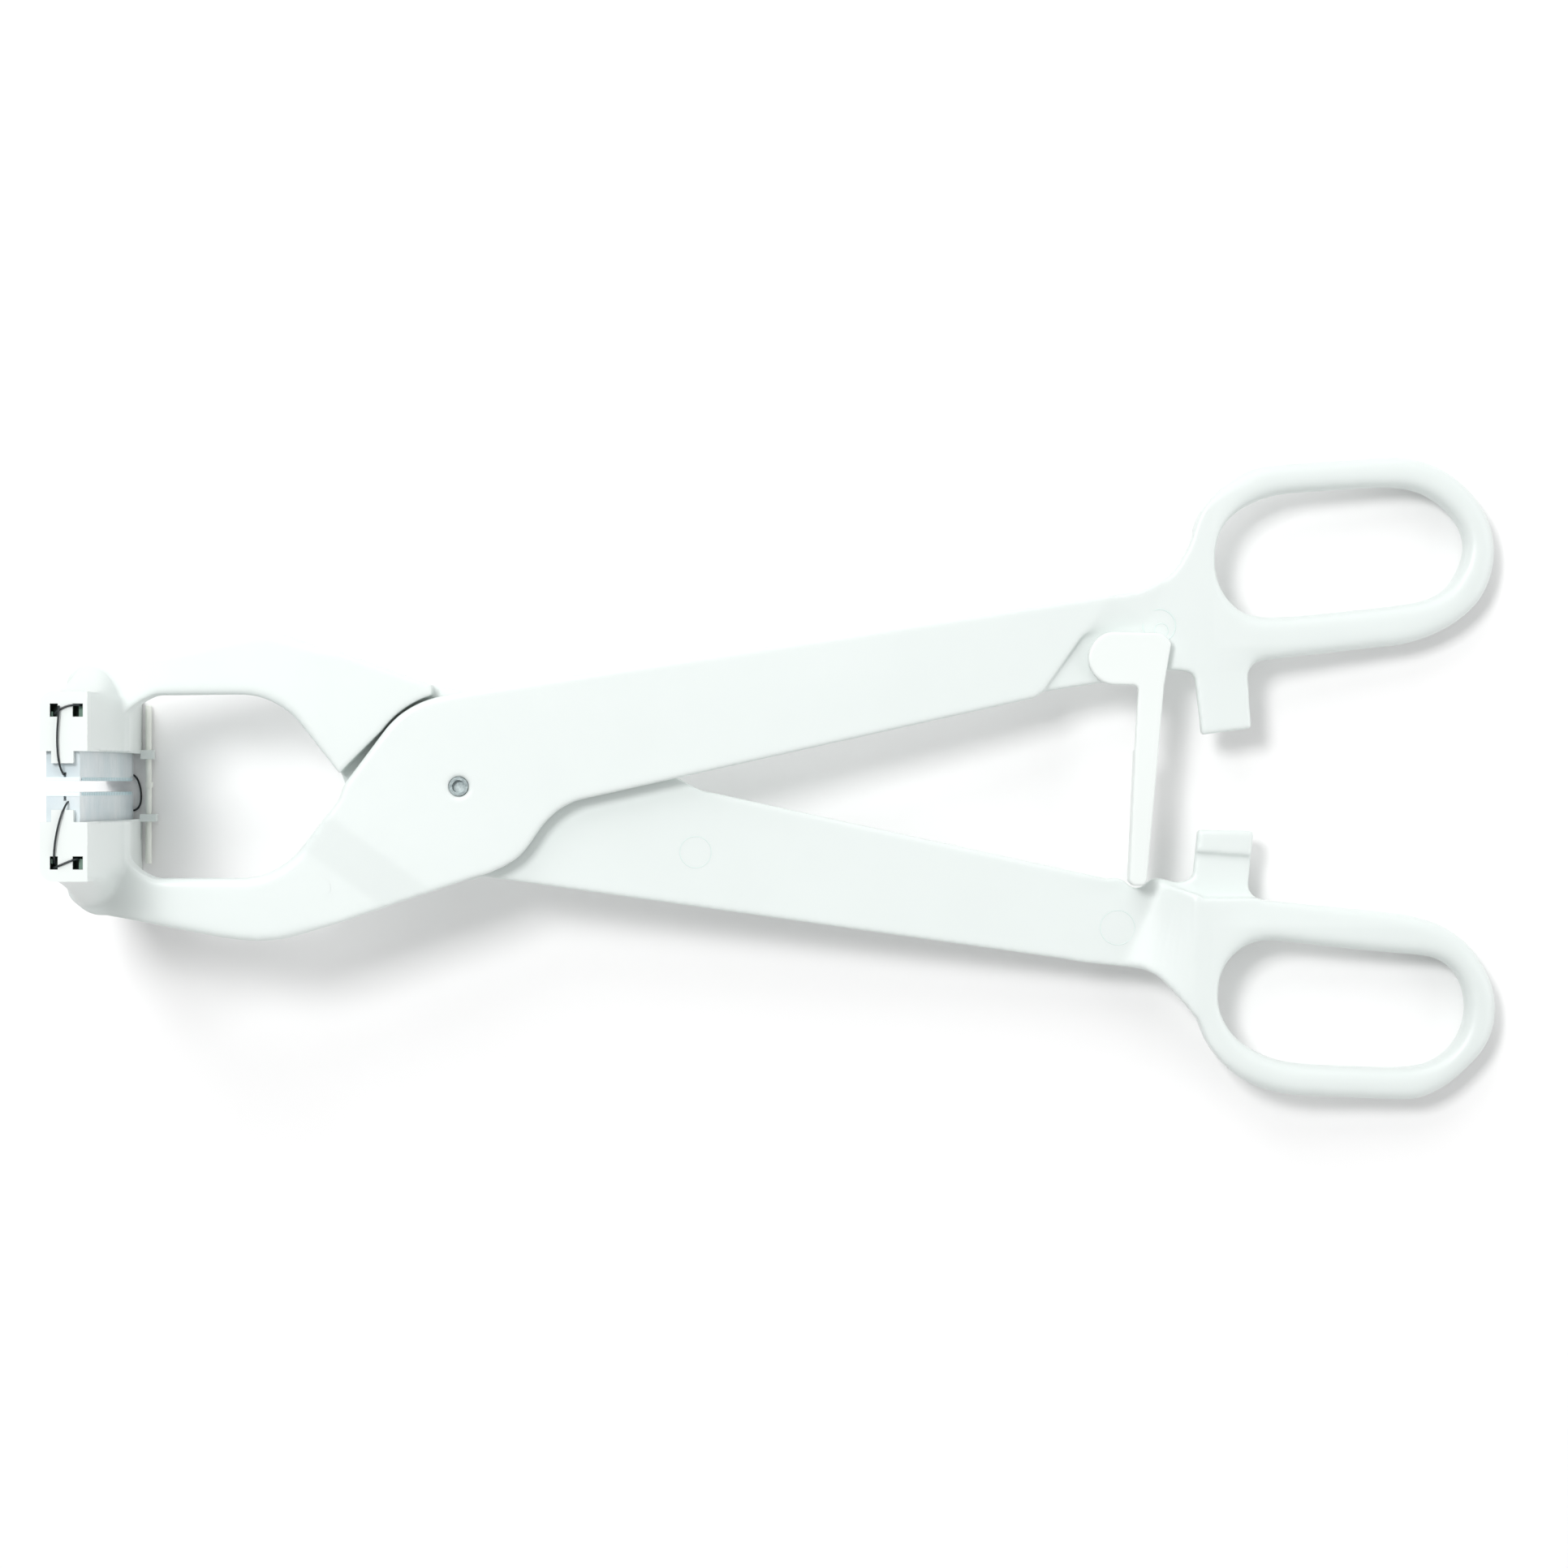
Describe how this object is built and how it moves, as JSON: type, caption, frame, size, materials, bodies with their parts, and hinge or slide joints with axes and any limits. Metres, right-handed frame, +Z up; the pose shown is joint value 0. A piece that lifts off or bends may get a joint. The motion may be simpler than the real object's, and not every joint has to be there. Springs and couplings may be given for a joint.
{
  "type": "purse-string stapler",
  "caption": "Hand-held purse-string stapler: crossed moulded levers with finger rings, right-angled jaws with clear staple cartridges and a swing-away safety spacer.",
  "frame": {"origin": "centre of the footprint on the surface that the instrument lies on", "axes": "+X from the jaws to the finger rings, +Z up, +Y across the levers towards the near lever's ring"},
  "size_m": [0.2828, 0.1254, 0.0711],
  "materials": {
    "lever_plastic": "moulded, soft satin",
    "cap_plastic": "moulded, brighter white",
    "pusher_plastic": "moulded, pale blue-grey",
    "rod_plastic": "moulded",
    "spacer_plastic": "moulded, warmer white",
    "cartridge_clear": "clear moulded plastic",
    "rivet_steel": "turned",
    "staple_steel": "drawn wire",
    "suture": "monofilament"
  },
  "bodies": {
    "rear_lever_assembly": {"back_lever": "lever_plastic", "upper_jaw_housing": "lever_plastic", "upper_cleat_cap": "cap_plastic", "upper_staple_pusher": "pusher_plastic", "guide_rod": "rod_plastic", "guide_rod_collar": "rod_plastic", "upper_suture_tail": "suture", "upper_suture_hitch": "suture", "rear_suture_loop": "suture"},
    "rivet": {"pivot_rivet": "rivet_steel"},
    "front_lever_assembly": {"front_lever": "lever_plastic", "lower_jaw_housing": "lever_plastic", "lower_cleat_cap": "cap_plastic", "lower_staple_pusher": "pusher_plastic", "lower_suture_tail": "suture", "lower_suture_hitch": "suture"},
    "upper_insert": {"upper_cartridge": "cartridge_clear", "upper_staples": "staple_steel", "upper_jaw_suture": "suture"},
    "lower_insert": {"lower_cartridge": "cartridge_clear", "lower_staples": "staple_steel", "lower_jaw_suture": "suture"},
    "spacer": {"safety_spacer": "spacer_plastic", "spacer_retainer": "spacer_plastic"}
  },
  "joints": [
    {"name": "lever_opening", "type": "hinge", "parent": "rivet", "child": "rear_lever_assembly", "pos_m": [-0.06098, -0.00157, 0.02696], "axis": [-0.1149, 0, -0.9934], "range_deg": [0, 20], "deforming": ["rear_suture_loop"]},
    {"name": "lever_closing", "type": "hinge", "parent": "rivet", "child": "front_lever_assembly", "pos_m": [-0.06098, -0.00157, 0.02696], "axis": [-0.1149, 0, -0.9934], "range_deg": [0, 6.5], "deforming": ["upper_suture_tail", "lower_suture_tail"]},
    {"name": "upper_cartridge_slide", "type": "slide", "parent": "rear_lever_assembly", "child": "upper_insert", "axis": [0, 1, 0], "range_m": [0, 0.0036]},
    {"name": "lower_cartridge_slide", "type": "slide", "parent": "front_lever_assembly", "child": "lower_insert", "axis": [0, -1, 0], "range_m": [0, 0.0036]},
    {"name": "spacer_swing", "type": "hinge", "parent": "front_lever_assembly", "child": "spacer", "pos_m": [0.06692, 0.02355, 0.01217], "axis": [-0.1149, 0, -0.9934], "range_deg": [0, 60]}
  ],
  "couplings": [
    {"joint": "upper_cartridge_slide", "follows": "lever_closing", "m_per_rad": 0.03085},
    {"joint": "lower_cartridge_slide", "follows": "lever_closing", "m_per_rad": 0.03085}
  ]
}
